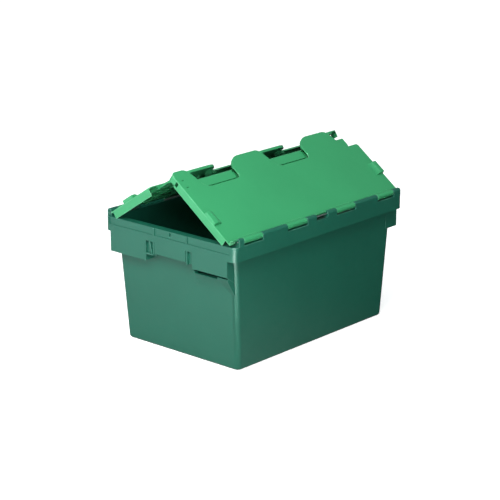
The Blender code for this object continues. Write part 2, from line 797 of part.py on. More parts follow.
def make_rod(name, y, parts, material):
    """Make a straight hinge rod along X."""
    curve = bpy.data.curves.new(name, "CURVE")
    curve.dimensions = "3D"
    curve.bevel_depth = ROD_RADIUS
    curve.bevel_resolution = 2
    curve.use_fill_caps = True
    spline = curve.splines.new("POLY")
    spline.points.add(1)
    half = HALF_LENGTH - ROD_END_INSET
    spline.points[0].co = (-half, 0.0, 0.0, 1.0)
    spline.points[1].co = (half, 0.0, 0.0, 1.0)
    rod = bpy.data.objects.new(name, curve)
    rod.location = (0.0, y, AXIS_Z)
    curve.materials.append(material)
    parts.objects.link(rod)


def main():
    clear_scene()
    parts = new_collection("attached_lid_tote")

    def helpers(name):
        return new_collection(name, hidden=True)

    dark_green = new_material("dark_green_polypropylene", (0.030, 0.130, 0.090), 0.42)
    bright_green = new_material("bright_green_polypropylene", (0.055, 0.390, 0.165), 0.42)
    steel = new_material("galvanised_steel", (0.62, 0.63, 0.64), 0.35, metallic=1.0)
    make_body(parts, helpers, dark_green)
    make_lids(parts, helpers, bright_green)
    make_rod("front_hinge_rod", -AXIS_Y, parts, steel)
    make_rod("back_hinge_rod", AXIS_Y, parts, steel)


main()
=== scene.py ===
"""Looks of the attached lid tote: fine mouldings, plastics, hinge wires and a studio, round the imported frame.

Everything is in metres in the frame's own axes: X along the long sides, Y across, Z up.
The tote looks the same after half a turn about Z, so one end, one long side and one lid are modelled
and turned round for the other.
"""

import json
import math

import bmesh
import bpy
from bpy.props import FloatProperty, FloatVectorProperty, PointerProperty
from mathutils import Matrix, Vector

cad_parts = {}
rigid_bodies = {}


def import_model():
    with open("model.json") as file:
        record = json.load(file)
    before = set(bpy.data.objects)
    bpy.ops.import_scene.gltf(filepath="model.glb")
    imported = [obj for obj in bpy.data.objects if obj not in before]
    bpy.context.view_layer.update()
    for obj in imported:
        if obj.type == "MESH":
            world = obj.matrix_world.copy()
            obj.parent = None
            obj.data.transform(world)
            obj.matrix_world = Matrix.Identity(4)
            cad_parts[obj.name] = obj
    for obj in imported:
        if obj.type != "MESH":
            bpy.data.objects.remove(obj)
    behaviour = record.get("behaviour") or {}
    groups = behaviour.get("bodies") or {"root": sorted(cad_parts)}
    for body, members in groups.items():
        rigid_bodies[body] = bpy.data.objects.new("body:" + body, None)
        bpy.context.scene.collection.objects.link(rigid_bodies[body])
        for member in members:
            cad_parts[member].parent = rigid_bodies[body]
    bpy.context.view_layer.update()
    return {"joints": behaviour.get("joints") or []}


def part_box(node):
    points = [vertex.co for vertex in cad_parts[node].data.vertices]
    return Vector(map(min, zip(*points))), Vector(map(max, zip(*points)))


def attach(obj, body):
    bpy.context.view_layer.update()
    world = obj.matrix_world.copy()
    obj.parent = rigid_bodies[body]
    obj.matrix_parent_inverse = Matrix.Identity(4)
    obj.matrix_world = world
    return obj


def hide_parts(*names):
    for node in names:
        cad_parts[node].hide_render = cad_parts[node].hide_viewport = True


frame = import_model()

bl_info = {
    "name": "Attached lid tote",
    "version": (1, 0, 0),
    "blender": (4, 5, 0),
    "location": "View3D > Sidebar > Tote",
    "description": "Builds the mouldings, hinge wires, plastics and studio of an attached lid tote",
    "category": "Add Mesh",
}

BODY_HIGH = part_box("container_body")[1]
HALF_LENGTH = BODY_HIGH.x
HALF_WIDTH = BODY_HIGH.y
JOINTS = {joint["name"]: joint for joint in frame["joints"]}
AXIS_Y = -JOINTS["front_lid_hinge"]["pos_m"][1]
AXIS_Z = JOINTS["front_lid_hinge"]["pos_m"][2]
FRONT_ANGLE = math.radians(-JOINTS["front_lid_hinge"]["range_deg"][0])
BACK_ANGLE = math.radians(-JOINTS["back_lid_hinge"]["range_deg"][0])

# Tub and rim.
AXIS_HEIGHT = 0.0095
RIM_TOP = AXIS_Z - AXIS_HEIGHT
BASE_INSET = (0.0395, 0.0255)
SHOULDER_INSET = (0.0180, 0.0150)
TUB_CORNER_RADIUS = 0.013
TUB_EDGE_RADIUS = 0.006
LEDGE_THICKNESS = 0.0035
BAND_HEIGHT = 0.0335
BAND_THICKNESS = 0.003
RIM_CORNER_RADIUS = 0.014
SIDE_RIB_PITCH = 0.080
SIDE_RIB_RISE = 0.004
FINE_ROUND = 0.0005
RIB_ROUND = 0.0004
EMBED = 0.001

# End skirts, as (start, stop, depth below the rim top) along Y.
GRIP_PANEL = (0.070, 0.184, 0.0815)
MIDDLE_PANEL = (-0.053, 0.042, 0.0605)
SHALLOW_PANEL = (-0.178, -0.073, 0.0715)
FLANGE_SEAT_INSET = 0.0018
FLANGE_SEAT_HEIGHT = 0.017
FLANGE_SEAT_END = 0.014
APRON_DROP = 0.004
APRON_SETBACK = 0.002
APRON_LIP = 0.003
GUSSET_LENGTH = 0.056
WALL_MIDDLE = 0.0015
APRON_HEIGHT = 0.045
APRON_DIP = (-0.147, -0.080, 0.005)
SEAL_HOLE_Y = -0.005
SEAL_HOLE_DROP = 0.007
SEAL_HOLE_HALF = (0.002, 0.004)

# Webs between the skirts: upright ribs as (start, stop) along Y, setbacks from the end's face, and how
# far the brace leans.
WEB_RIBS = ((-0.0590, -0.0545), (0.0425, 0.0485))
WEB_FACE = 0.0055
WEB_BACK = 0.009
WEB_RIB_FACE = 0.0002
WEB_RIB_BACK = 0.0065
BRACE_LEAN = 0.012

# Hinges.
BARREL_RADIUS = 0.007
KNUCKLE_RADIUS = 0.0062
BORE_RADIUS = 0.0026
LID_KNUCKLES = ((-0.265, -0.205), (-0.120, -0.053), (0.053, 0.120), (0.205, 0.265))
TAB_HALF_WIDTH = 0.018
TAB_GAP = 0.002
KNUCKLE_GAP = 0.0008
END_KNUCKLE = 0.282
FAR_KNUCKLE = 0.292
TAB_RADIUS = 0.0076
TAB_THICKNESS = 0.003
TAB_SPAN = (math.radians(-65.0), math.radians(75.0))
HINGE_ROUND = 0.0006
NECK_RISE = 0.0015
NECK_LAP = 0.003
SILL_HEIGHT = 0.0035
SILL_THICKNESS = 0.0015

# Lids when closed: distances across are from the hinge axis, heights from its level.
PLATE_TOP = -0.0055
PLATE_BOTTOM = -0.0085
PLATE_MIDDLE = (PLATE_TOP + PLATE_BOTTOM) / 2
PLATE_START = 0.011
PLATE_CORNER_RADIUS = 0.006
PLATE_ROUND = 0.0012
LID_HALF_LENGTH = HALF_LENGTH - 0.0002
FINGER_TIP = 0.222
FINGER_ROOT = 0.162
FLANGE_BOTTOM = -0.0255
FLANGE_TIP_BOTTOM = -0.022
FLANGE_THICKNESS = 0.0015
TIP_CORNER_RADIUS = 0.012
FLANGE_HEEL = 0.018
FLANGE_WINDOW = (0.1895, 0.1975)
FLANGE_WINDOW_HEIGHTS = (-0.0200, -0.0090)
# A boss as (start, stop) across and its height above the plate.
BOSS = (0.061, 0.097, 0.008)
BOSS_WIDTH = 0.013
BOSS_RAMP = 0.030
BOSS_ROUND = 0.0022
SEAL_SLOT_INSET = (0.011, 0.018)
SEAL_SLOT_WIDTH = 0.002
SEAL_SLOT_BOTTOM = -0.012
TONGUE_TOP = -0.0135
TONGUE_THICKNESS = 0.0025
RISER_THICKNESS = 0.0025
TONGUE_REACH = 0.0305
END_TONGUE_EDGE = 0.2765

# Slot in each middle tongue, as stops from the root, with the trough and pocket that close it below.
TONGUE_SLOT = (0.0032, 0.0068)
SLOT_WIDTH = 0.0043
SLOT_SIDE_OFFSET = 0.0008
SLOT_START = 0.014
TROUGH_DEPTH = 0.0025
TROUGH_WALL = 0.0008
TROUGH_FLOOR = 0.001
POCKET_WIDTH = 0.0035

# Fingers and the recesses between them.
STRAIGHT_SIDE = 0.1213
SLANTED_SIDE = 0.2430
SIDE_GAP = 0.0015
SLANT = 0.30
LEADING_RADIUS = 0.040
SLANTED_RADIUS = 0.020
HEEL_RADIUS = 0.013
SETBACK = 0.0003
LIP_BOTTOM = -0.012
LIP_THICKNESS = 0.002
END_LIP_INSET = 0.022
RECESS_STEPS = 12

SMOOTH_ANGLE = math.radians(38.0)

# Studio: a broad soft sky light as strength and direction, and softboxes as name, place, side, watts, tint.
ROOM_LIGHT = 0.25
BACKDROP_WHITE = 1.05
SKY_LIGHT = (0.80, (-0.40, -0.20, 0.90))
SOFTBOXES = (
    ("overhead_softbox", (-1.7, -0.7, 1.8), 1.0, 46.0, (1.0, 1.0, 0.98)),
    ("end_softbox", (-2.6, 1.7, 0.4), 1.8, 36.0, (0.85, 0.96, 1.0)),
    ("front_softbox", (-1.8, -3.0, 1.4), 1.6, 40.0, (0.95, 1.0, 1.0)),
)

# Floor: its own glow for the camera, the stretch of X where its bounce fades into painted shade, and the
# mirrored pool of light.
FLOOR_GLOW = 0.62
BOUNCE_SHADE_STRETCH = (-0.7, 0.3)
POOL_PLACE = (-0.95, -0.95, 0.0)
POOL_FADE = (0.15, 0.55)
POOL_STRENGTH = 40.0

# Camera: its bearing and distance from the point it looks at, its lens and its framing.
CAMERA_AZIMUTH = math.radians(-48.55)
CAMERA_ELEVATION = math.radians(17.609)
CAMERA_DISTANCE = 4.3318
CAMERA_TARGET = (0.0, 0.0, 0.15)
CAMERA_LENS = 131.69
CAMERA_SHIFT = (-0.01371, 0.03050)


# ---------------------------------------------------------------- settings


def linear(hex_text):
    """Turn an sRGB hex colour into linear RGBA."""
    channels = [int(hex_text[i : i + 2], 16) / 255 for i in (1, 3, 5)]
    return (*[c / 12.92 if c <= 0.04045 else ((c + 0.055) / 1.055) ** 2.4 for c in channels], 1.0)


class ToteSizes(bpy.types.PropertyGroup):
    """Sizes of the moulded details."""

    edge_round: FloatProperty(
        name="Edge round",
        description="Radius of the moulded outside edges",
        default=0.0009,
        min=0.0002,
        max=0.0012,
        precision=4,
        unit="LENGTH",
    )
    wall: FloatProperty(
        name="Wall",
        description="Thickness of the tub's walls and floor",
        default=0.003,
        precision=4,
        unit="LENGTH",
    )
    rib: FloatProperty(
        name="Rib",
        description="Thickness of the stiffening ribs",
        default=0.0025,
        precision=4,
        unit="LENGTH",
    )
    lid_rib_depth: FloatProperty(
        name="Lid rib depth",
        description="How far the ribs reach down from the underside of a lid",
        default=0.005,
        precision=4,
        unit="LENGTH",
    )
    wire: FloatProperty(
        name="Hinge wire",
        description="Diameter of the steel hinge wires",
        default=0.004,
        precision=4,
        unit="LENGTH",
    )
    grain: FloatProperty(
        name="Plastic grain",
        description="Width of one grain of the spark-eroded mould texture, drawn coarse enough to show",
        default=0.0016,
        precision=4,
        unit="LENGTH",
    )


class ToteColours(bpy.types.PropertyGroup):
    """Colours of the plastics and the hinge wires."""

    body: FloatVectorProperty(
        name="Tub",
        description="Dark green polypropylene of the tub",
        default=linear("#135e4b")[:3],
        min=0.0,
        max=1.0,
        subtype="COLOR",
    )
    lid: FloatVectorProperty(
        name="Lids",
        description="Leaf green polypropylene of the lids",
        default=linear("#349862")[:3],
        min=0.0,
        max=1.0,
        subtype="COLOR",
    )
    steel: FloatVectorProperty(
        name="Hinge wire",
        description="Zinc coat of the hinge wires",
        default=linear("#c4c6c8")[:3],
        min=0.0,
        max=1.0,
        subtype="COLOR",
    )


def sizes():
    """The sizes in the scene's settings."""
    return bpy.context.scene.tote_sizes


def colours():
    """The colours in the scene's settings."""
    return bpy.context.scene.tote_colours


# ---------------------------------------------------------------- shapes


def helper_collection(name):
    """Make a hidden collection for the shapes that a moulding is joined or cut from."""
    collection = bpy.data.collections.new(name)
    bpy.context.scene.collection.children.link(collection)
    collection.hide_render = True
    return collection


def add_shape(bm, collection, name="shape"):
    """Turn a bmesh into an object of a collection."""
    mesh = bpy.data.meshes.new(name)
    bm.to_mesh(mesh)
    bm.free()
    obj = bpy.data.objects.new(name, mesh)
    collection.objects.link(obj)
    return obj


def round_edges(bm, radius, picked=None, segments=2):
    """Round the picked edges of a closed shape, or every edge that turns by more than 50 degrees."""
    if picked is None:
        picked = [e for e in bm.edges if e.is_manifold and e.calc_face_angle(0.0) > math.radians(50.0)]
    bmesh.ops.bevel(
        bm, geom=picked, offset=radius, segments=segments, profile=0.5, affect="EDGES", clamp_overlap=True
    )


def add_block(low, high, collection, radius=None, shift=None):
    """Make a box between two corners with rounded edges; shift may move its corners first."""
    bm = bmesh.new()
    low, high = Vector(low), Vector(high)
    place = Matrix.Translation((low + high) / 2) @ Matrix.Diagonal((*(high - low), 1.0))
    bmesh.ops.create_cube(bm, size=1.0, matrix=place)
    if shift:
        for vert in bm.verts:
            vert.co += Vector(shift(vert.co))
    radius = sizes().edge_round if radius is None else radius
    if radius:
        round_edges(bm, min(radius, min(high - low) * 0.45))
    return add_shape(bm, collection)


def add_barrel(start, stop, y, z, radius, collection, segments=40, edge=None):
    """Make a round bar along X with softened ends."""
    bm = bmesh.new()
    turn = Matrix.Rotation(math.pi / 2, 4, "Y")
    place = Matrix.Translation(((start + stop) / 2, y, z)) @ turn
    bmesh.ops.create_cone(
        bm, cap_ends=True, segments=segments, radius1=radius, radius2=radius, depth=stop - start, matrix=place
    )
    edge = sizes().edge_round if edge is None else edge
    if edge:
        round_edges(bm, edge)
    return add_shape(bm, collection)


def add_tapered_block(base, top, low, high, corner_radius, edge_radius, collection):
    """Make a block that widens upwards, with round upright and bottom edges."""
    bm = bmesh.new()
    bmesh.ops.create_cube(bm, size=2.0)
    for vert in bm.verts:
        half = top if vert.co.z > 0 else base
        height = high if vert.co.z > 0 else low
        vert.co = Vector((vert.co.x * half[0], vert.co.y * half[1], height))
    upright = [e for e in bm.edges if abs(e.verts[0].co.z - e.verts[1].co.z) > (high - low) / 2]
    round_edges(bm, corner_radius, upright, segments=8)
    bottom = [e for e in bm.edges if all(v.co.z < low + edge_radius / 2 for v in e.verts)]
    round_edges(bm, edge_radius, bottom, segments=5)
    bmesh.ops.recalc_face_normals(bm, faces=bm.faces)
    return add_shape(bm, collection)


def rounded_outline(corners, steps=10):
    """Points of a closed outline whose corners (x, y, radius) are rounded with arcs."""
    points = []
    count = len(corners)
    for index, (x, y, radius) in enumerate(corners):
        here = Vector((x, y))
        before = (Vector(corners[index - 1][:2]) - here).normalized()
        after = (Vector(corners[(index + 1) % count][:2]) - here).normalized()
        if radius == 0:
            points.append(here)
            continue
        half_angle = before.angle(after) / 2
        centre = here + (before + after).normalized() * radius / math.sin(half_angle)
        first = here + before * radius / math.tan(half_angle) - centre
        last = here + after * radius / math.tan(half_angle) - centre
        turn = first.angle_signed(last)
        for step in range(steps + 1):
            points.append(centre + Matrix.Rotation(-turn * step / steps, 2) @ first)
    return points


def rectangle(half_x, half_y, radius):
    """Points of a rounded rectangle about the origin."""
    signs = ((-1, -1), (1, -1), (1, 1), (-1, 1))
    return rounded_outline([(sx * half_x, sy * half_y, radius) for sx, sy in signs])


def add_prism(outlines, low, high, collection, along="Z", radius=None):
    """Extrude flat outlines between two stops along an axis, with rounded rims. A second one is a hole.

    An outline's points are (x, y) along Z, (y, z) along X and (x, z) along Y.
    """
    curve = bpy.data.curves.new("outline", "CURVE")
    curve.dimensions = "2D"
    curve.fill_mode = "BOTH"
    curve.extrude = (high - low) / 2
    for points in outlines:
        spline = curve.splines.new("POLY")
        spline.points.add(len(points) - 1)
        for target, point in zip(spline.points, points):
            target.co = (point.x, point.y, 0.0, 1.0)
        spline.use_cyclic_u = True
    guide = bpy.data.objects.new("outline", curve)
    turns = {
        "X": Matrix(((0, 0, 1), (1, 0, 0), (0, 1, 0))).to_4x4(),
        "Y": Matrix(((1, 0, 0), (0, 0, -1), (0, 1, 0))).to_4x4(),
        "Z": Matrix.Identity(4),
    }
    away = -1 if along == "Y" else 1
    place = turns[along] @ Matrix.Translation((0.0, 0.0, away * (low + high) / 2))
    collection.objects.link(guide)
    bpy.context.view_layer.update()
    mesh = bpy.data.meshes.new_from_object(guide.evaluated_get(bpy.context.evaluated_depsgraph_get()))
    bm = bmesh.new()
    bm.from_mesh(mesh)
    bpy.data.objects.remove(guide, do_unlink=True)
    bpy.data.meshes.remove(mesh)
    bmesh.ops.remove_doubles(bm, verts=bm.verts, dist=0.000001)
    bmesh.ops.dissolve_limit(bm, angle_limit=math.radians(0.1), verts=bm.verts, edges=bm.edges)
    bmesh.ops.recalc_face_normals(bm, faces=bm.faces)
    half = (high - low) / 2
    rims = [e for e in bm.edges if abs(abs(e.verts[0].co.z + e.verts[1].co.z) / 2 - half) < half * 0.01]
    radius = sizes().edge_round if radius is None else radius
    if radius:
        round_edges(bm, min(radius, half * 0.9), rims)
    bmesh.ops.transform(bm, matrix=place, verts=bm.verts)
    return add_shape(bm, collection)


def opposite(obj, collection):
    """Copy a shape to the other side by half a turn about Z."""
    copy = bpy.data.objects.new(obj.name, obj.data)
    copy.matrix_world = Matrix.Rotation(math.pi, 4, "Z")
    collection.objects.link(copy)


def combine(obj, additions, cuts):
    """Join the additions to a moulding, cut the cutters from it, and clean the result."""
    for operation, collection in (("UNION", additions), ("DIFFERENCE", cuts)):
        if not collection.objects:
            continue
        modifier = obj.modifiers.new(operation.lower(), "BOOLEAN")
        modifier.operation = operation
        modifier.operand_type = "COLLECTION"
        modifier.collection = collection
        modifier.solver = "EXACT"
    bpy.context.view_layer.update()
    mesh = bpy.data.meshes.new_from_object(obj.evaluated_get(bpy.context.evaluated_depsgraph_get()))
    obj.modifiers.clear()
    obj.data = mesh
    bm = bmesh.new()
    bm.from_mesh(mesh)
    bmesh.ops.remove_doubles(bm, verts=bm.verts, dist=0.000005)
    bmesh.ops.dissolve_limit(bm, angle_limit=math.radians(0.1), verts=bm.verts, edges=bm.edges)
    bm.to_mesh(mesh)
    bm.free()
    for collection in (additions, cuts):
        for helper in list(collection.objects):
            bpy.data.objects.remove(helper, do_unlink=True)
        bpy.data.collections.remove(collection)


def finish_moulding(obj, material, body, node):
    """Shade a moulding, mark its narrow rounded edges for wear and a painted highlight, and hang it on its
    body.
    """
    mesh = obj.data
    narrow = mesh.attributes.new("rounded_edge", "FLOAT", "FACE")
    limit = sizes().edge_round
    for face in mesh.polygons:
        around = sum((mesh.vertices[a].co - mesh.vertices[b].co).length for a, b in face.edge_keys)
        width = 2.0 * face.area / around if around else 0.0
        narrow.data[face.index].value = 1.0 if width < limit * 0.8 else 0.0
    mesh.shade_smooth()
    mesh.set_sharp_from_angle(angle=SMOOTH_ANGLE)
    weighted = obj.modifiers.new("even_shading", "WEIGHTED_NORMAL")
    weighted.keep_sharp = True
    mesh.materials.clear()
    mesh.materials.append(material)
    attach(obj, body)
    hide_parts(node)


# ---------------------------------------------------------------- materials


def add_node(tree, kind, inputs=None, **settings):
    """Add a node, set its settings, and set or link its inputs."""
    node = tree.nodes.new(kind)
    for name, value in settings.items():
        setattr(node, name, value)
    for name, value in (inputs or {}).items():
        if isinstance(value, bpy.types.NodeSocket):
            tree.links.new(value, node.inputs[name])
        else:
            node.inputs[name].default_value = value
    return node


def new_material(name):
    """Make a material; gives it, its node tree, its shader and the object's own coordinates."""
    material = bpy.data.materials.new(name)
    material.use_nodes = True
    tree = material.node_tree
    place = add_node(tree, "ShaderNodeTexCoord").outputs["Object"]
    return material, tree, tree.nodes["Principled BSDF"], place


def mix_colours(tree, factor, first, second):
    """Blend two colours by a factor."""
    inputs = {"Factor": factor, "A": first, "B": second}
    return add_node(tree, "ShaderNodeMix", inputs, data_type="RGBA").outputs["Result"]


def mix_shaders(tree, factor, first, second):
    """Blend two shaders by a factor."""
    return add_node(tree, "ShaderNodeMixShader", {0: factor, 1: first, 2: second}).outputs["Shader"]


def multiply(tree, first, second):
    """Multiply two values."""
    return add_node(tree, "ShaderNodeMath", {0: first, 1: second}, operation="MULTIPLY").outputs["Value"]


def map_range(tree, value, from_range, to_range=(0.0, 1.0)):
    """Turn one range of a value into another."""
    inputs = {"Value": value, "From Min": from_range[0], "From Max": from_range[1]}
    inputs.update({"To Min": to_range[0], "To Max": to_range[1]})
    return add_node(tree, "ShaderNodeMapRange", inputs).outputs["Result"]


def add_noise(tree, place, width, detail, roughness):
    """Noise whose features are about a width across."""
    inputs = {"Vector": place, "Scale": 1 / width, "Detail": detail, "Roughness": roughness}
    return add_node(tree, "ShaderNodeTexNoise", inputs).outputs["Fac"]


def moulded_polypropylene(name, colour, worn_and_highlight_hex, roughness):
    """Injection-moulded polypropylene with a fine spark-eroded grain.

    It gives the eye a satin surface, with slow drifts in tone where the melt flowed, a faint grain that
    breaks up highlights, and paler rounded edges that are part rub wear and part painted highlight.
    """
    material, tree, shader, place = new_material(name)
    flow_width, rub_width = 0.140, 0.030
    flow = add_noise(tree, place, flow_width, 2.0, 0.4)
    rub = add_noise(tree, place, rub_width, 5.0, 0.6)
    fine = add_noise(tree, place, sizes().grain, 2.0, 0.5)
    deep = (*[c * 0.90 for c in colour], 1.0)
    lift = (*[c * 1.07 + 0.002 for c in colour], 1.0)
    tone = mix_colours(tree, flow, deep, lift)
    # Paler narrow rounded edges: rub wear in patches, plus a painted highlight along the edges.
    edge = add_node(tree, "ShaderNodeAttribute", attribute_name="rounded_edge").outputs["Fac"]
    wear_and_highlight = multiply(tree, edge, map_range(tree, rub, (0.35, 0.65), (0.05, 0.38)))
    rubbed_and_highlit = mix_colours(tree, wear_and_highlight, tone, linear(worn_and_highlight_hex))
    tree.links.new(rubbed_and_highlit, shader.inputs["Base Color"])
    dull = map_range(tree, rub, (0.3, 0.7), (roughness - 0.05, roughness + 0.06))
    tree.links.new(dull, shader.inputs["Roughness"])
    bump = add_node(tree, "ShaderNodeBump", {"Height": fine, "Strength": 0.12, "Distance": 0.0002})
    tree.links.new(bump.outputs["Normal"], shader.inputs["Normal"])
    shader.inputs["IOR"].default_value = 1.49
    shader.inputs["Metallic"].default_value = 0.0
    return material


def galvanised_steel_wire(name, colour):
    """Drawn steel wire with a hot-dip zinc coat.

    It gives the eye a half-bright grey with faint spangles and draw lines along the wire, drawn coarser
    than real ones so that they show.
    """
    material, tree, shader, place = new_material(name)
    spangle_width, line_width, line_length = 0.006, 0.0004, 0.030
    stretch = (1 / line_length, 1 / line_width, 1 / line_width)
    stretched = add_node(tree, "ShaderNodeMapping", {"Vector": place, "Scale": stretch}).outputs["Vector"]
    lines = add_noise(tree, stretched, 1.0, 2.0, 0.5)
    spangle = add_node(tree, "ShaderNodeTexVoronoi", {"Vector": place, "Scale": 1 / spangle_width})
    grey = (*[c * 0.8 for c in colour], 1.0)
    tone = mix_colours(tree, spangle.outputs["Distance"], grey, (*colour, 1.0))
    tree.links.new(tone, shader.inputs["Base Color"])
    dull = map_range(tree, lines, (0.0, 1.0), (0.28, 0.52))
    tree.links.new(dull, shader.inputs["Roughness"])
    bump = add_node(tree, "ShaderNodeBump", {"Height": lines, "Strength": 0.2, "Distance": 0.0001})
    tree.links.new(bump.outputs["Normal"], shader.inputs["Normal"])
    shader.inputs["Metallic"].default_value = 1.0
    return material


def studio_floor_paint(name):
    """Matt white studio paint with the faintest roller mottle.

    For indirect light the floor's right side is painted dark: painted shade that stands in for a black flag
    on the right of the table and keeps that side's bounce off the tote. In front of the near corner lies a
    pool of light that only mirrored rays see. It puts a highlight on the rounded rim corner, and from some
    other sides it shows in the lids too.
    """
    material, tree, shader, place = new_material(name)
    mottle_width = 0.040
    mottle = add_noise(tree, place, mottle_width, 3.0, 0.5)
    tone = mix_colours(tree, mottle, linear("#fafafa"), linear("#fdfdfd"))
    tree.links.new(tone, shader.inputs["Base Color"])
    shader.inputs["Roughness"].default_value = 0.9
    shader.inputs["Specular IOR Level"].default_value = 0.0
    shader.inputs["Emission Color"].default_value = (1.0, 1.0, 1.0, 1.0)
    shader.inputs["Emission Strength"].default_value = FLOOR_GLOW
    across = add_node(tree, "ShaderNodeSeparateXYZ", {"Vector": place}).outputs["X"]
    # Painted shade: for indirect light the floor darkens towards +X, in place of a black flag.
    bounce = mix_colours(tree, map_range(tree, across, BOUNCE_SHADE_STRETCH), linear("#f2f6f6"), linear("#505454"))
    shaded_bounce = add_node(tree, "ShaderNodeBsdfDiffuse", {"Color": bounce}).outputs["BSDF"]
    light = add_node(tree, "ShaderNodeLightPath").outputs
    from_pool = add_node(tree, "ShaderNodeVectorMath", {0: place, 1: POOL_PLACE}, operation="DISTANCE")
    pool = map_range(tree, from_pool.outputs["Value"], POOL_FADE, (POOL_STRENGTH, 0.0))
    mirrored = multiply(tree, pool, light["Is Glossy Ray"])
    glow = add_node(tree, "ShaderNodeEmission", {"Strength": mirrored}).outputs["Emission"]
    lit = add_node(tree, "ShaderNodeAddShader", {0: shaded_bounce, 1: glow}).outputs["Shader"]
    both = mix_shaders(tree, light["Is Camera Ray"], lit, shader.outputs["BSDF"])
    tree.links.new(both, tree.nodes["Material Output"].inputs["Surface"])
    return material


def studio_air(name):
    """White studio cyclorama behind the tote, with a dimmer, slightly cool room for its light."""
    world = bpy.data.worlds.new(name)
    world.use_nodes = True
    tree = world.node_tree
    room = tree.nodes["Background"]
    room.inputs["Color"].default_value = (0.90, 0.97, 1.0, 1.0)
    room.inputs["Strength"].default_value = ROOM_LIGHT
    backdrop = {"Color": (1.0, 1.0, 1.0, 1.0), "Strength": BACKDROP_WHITE}
    white = add_node(tree, "ShaderNodeBackground", backdrop)
    seen = add_node(tree, "ShaderNodeLightPath").outputs["Is Camera Ray"]
    both = mix_shaders(tree, seen, room.outputs["Background"], white.outputs["Background"])
    tree.links.new(both, tree.nodes["World Output"].inputs["Surface"])
    return world


# ---------------------------------------------------------------- tub


def tub_half_sizes(height, inset=0.0):
    """Outer half sizes of the tub at a height, less an inset."""
    share = height / RIM_TOP
    half_x = HALF_LENGTH - BASE_INSET[0] + (BASE_INSET[0] - SHOULDER_INSET[0]) * share
    half_y = HALF_WIDTH - BASE_INSET[1] + (BASE_INSET[1] - SHOULDER_INSET[1]) * share
    return half_x - inset, half_y - inset


def body_knuckles():
    """Stretches of X that the rim's knuckles take, between the lid's knuckles and beside its tabs."""
    tab = TAB_HALF_WIDTH + TAB_GAP - KNUCKLE_GAP
    taken = list(LID_KNUCKLES)
    taken.insert(2, (-tab, tab))
    ends = [-END_KNUCKLE]
    for start, stop in taken:
        ends += [start - KNUCKLE_GAP, stop + KNUCKLE_GAP]
    ends.append(FAR_KNUCKLE)
    return list(zip(ends[0::2], ends[1::2]))


def add_rim(additions):
    """Add the ledge round the mouth and the band that hangs from it."""
    outer = rectangle(HALF_LENGTH, HALF_WIDTH, RIM_CORNER_RADIUS)
    inner = rectangle(
        HALF_LENGTH - BAND_THICKNESS, HALF_WIDTH - BAND_THICKNESS, RIM_CORNER_RADIUS - BAND_THICKNESS
    )
    add_prism([outer], RIM_TOP - LEDGE_THICKNESS, RIM_TOP, additions)
    add_prism([outer, inner], RIM_TOP - BAND_HEIGHT, RIM_TOP - LEDGE_THICKNESS / 2, additions)


def add_end_panels(additions):
    """Add the three skirt panels of the end at -X, with the ribs that tie them to the wall."""
    face = -HALF_LENGTH
    seat_floor = RIM_TOP - FLANGE_SEAT_HEIGHT
    seat_end = HALF_WIDTH - FLANGE_SEAT_END
    wall_at = -tub_half_sizes(0.0)[0]
    rib = sizes().rib
    shapes = [
        add_block(
            (face + EMBED, -seat_end - EMBED, RIM_TOP - BAND_HEIGHT + 2 * EMBED),
            (face + 2 * BAND_THICKNESS, seat_end + EMBED, RIM_TOP - EMBED),
            additions,
        )
    ]
    for start, stop, depth in (GRIP_PANEL, MIDDLE_PANEL, SHALLOW_PANEL):
        bottom = RIM_TOP - depth
        shapes.append(
            add_block(
                (face, start, bottom),
                (face + BAND_THICKNESS, stop, seat_floor + EMBED / 2),
                additions,
                radius=PLATE_ROUND,
            )
        )
        for rib_start in (start + EMBED / 2, stop - EMBED / 2 - rib):
            shapes.append(
                add_block(
                    (face + BAND_THICKNESS / 2, rib_start, bottom + EMBED / 2),
                    (wall_at + BAND_THICKNESS, rib_start + rib, RIM_TOP - 2 * EMBED),
                    additions,
                    radius=RIB_ROUND,
                )
            )
    return shapes


def add_webs(additions):
    """Add the recessed webs between the panels, each with an upright rib; the one beside the grip panel has a
    leaning brace and a small foot, the other a step.
    """
    face = -HALF_LENGTH
    top = RIM_TOP - FLANGE_SEAT_HEIGHT + EMBED
    rib_top = RIM_TOP - 2.5 * EMBED
    (shallow_rib, shallow_rib_stop), (grip_rib, grip_rib_stop) = WEB_RIBS

    def web_block(out, back, across, up, radius, shift=None):
        """Add a block by its setbacks, its stretch along Y, its heights and its rounding."""
        low, high = (face + out, across[0], up[0]), (face + back, across[1], up[1])
        return add_block(low, high, additions, radius=radius, shift=shift)

    def lean(co):
        """Lean the brace towards the grip panel."""
        return (0.0, BRACE_LEAN if co.z > 0.26 else 0.0, 0.0)

    return [
        # Between the grip panel and the middle panel: a tall rib, a leaning brace, a small foot.
        web_block(WEB_FACE, WEB_BACK, (0.041, 0.071), (0.2330, top), FINE_ROUND),
        web_block(WEB_RIB_FACE, WEB_RIB_BACK, (grip_rib, grip_rib_stop), (0.2370, rib_top), 0.0012),
        web_block(0.0004, WEB_RIB_BACK, (0.0500, 0.0530), (0.2365, 0.2845), 0.0008, lean),
        web_block(0.0010, WEB_RIB_BACK, (0.0495, 0.0700), (0.2330, 0.2365), 0.0008),
        # Between the middle panel and the shallow panel: a narrow rib with a step beside it.
        web_block(WEB_FACE, WEB_BACK, (-0.0740, -0.0520), (0.2365, top), FINE_ROUND),
        web_block(WEB_RIB_FACE, WEB_RIB_BACK, (shallow_rib, shallow_rib_stop), (0.2340, rib_top), 0.0011),
        web_block(0.0006, WEB_RIB_BACK, (-0.0665, -0.0580), (0.2740, 0.2885), 0.0009),
    ]


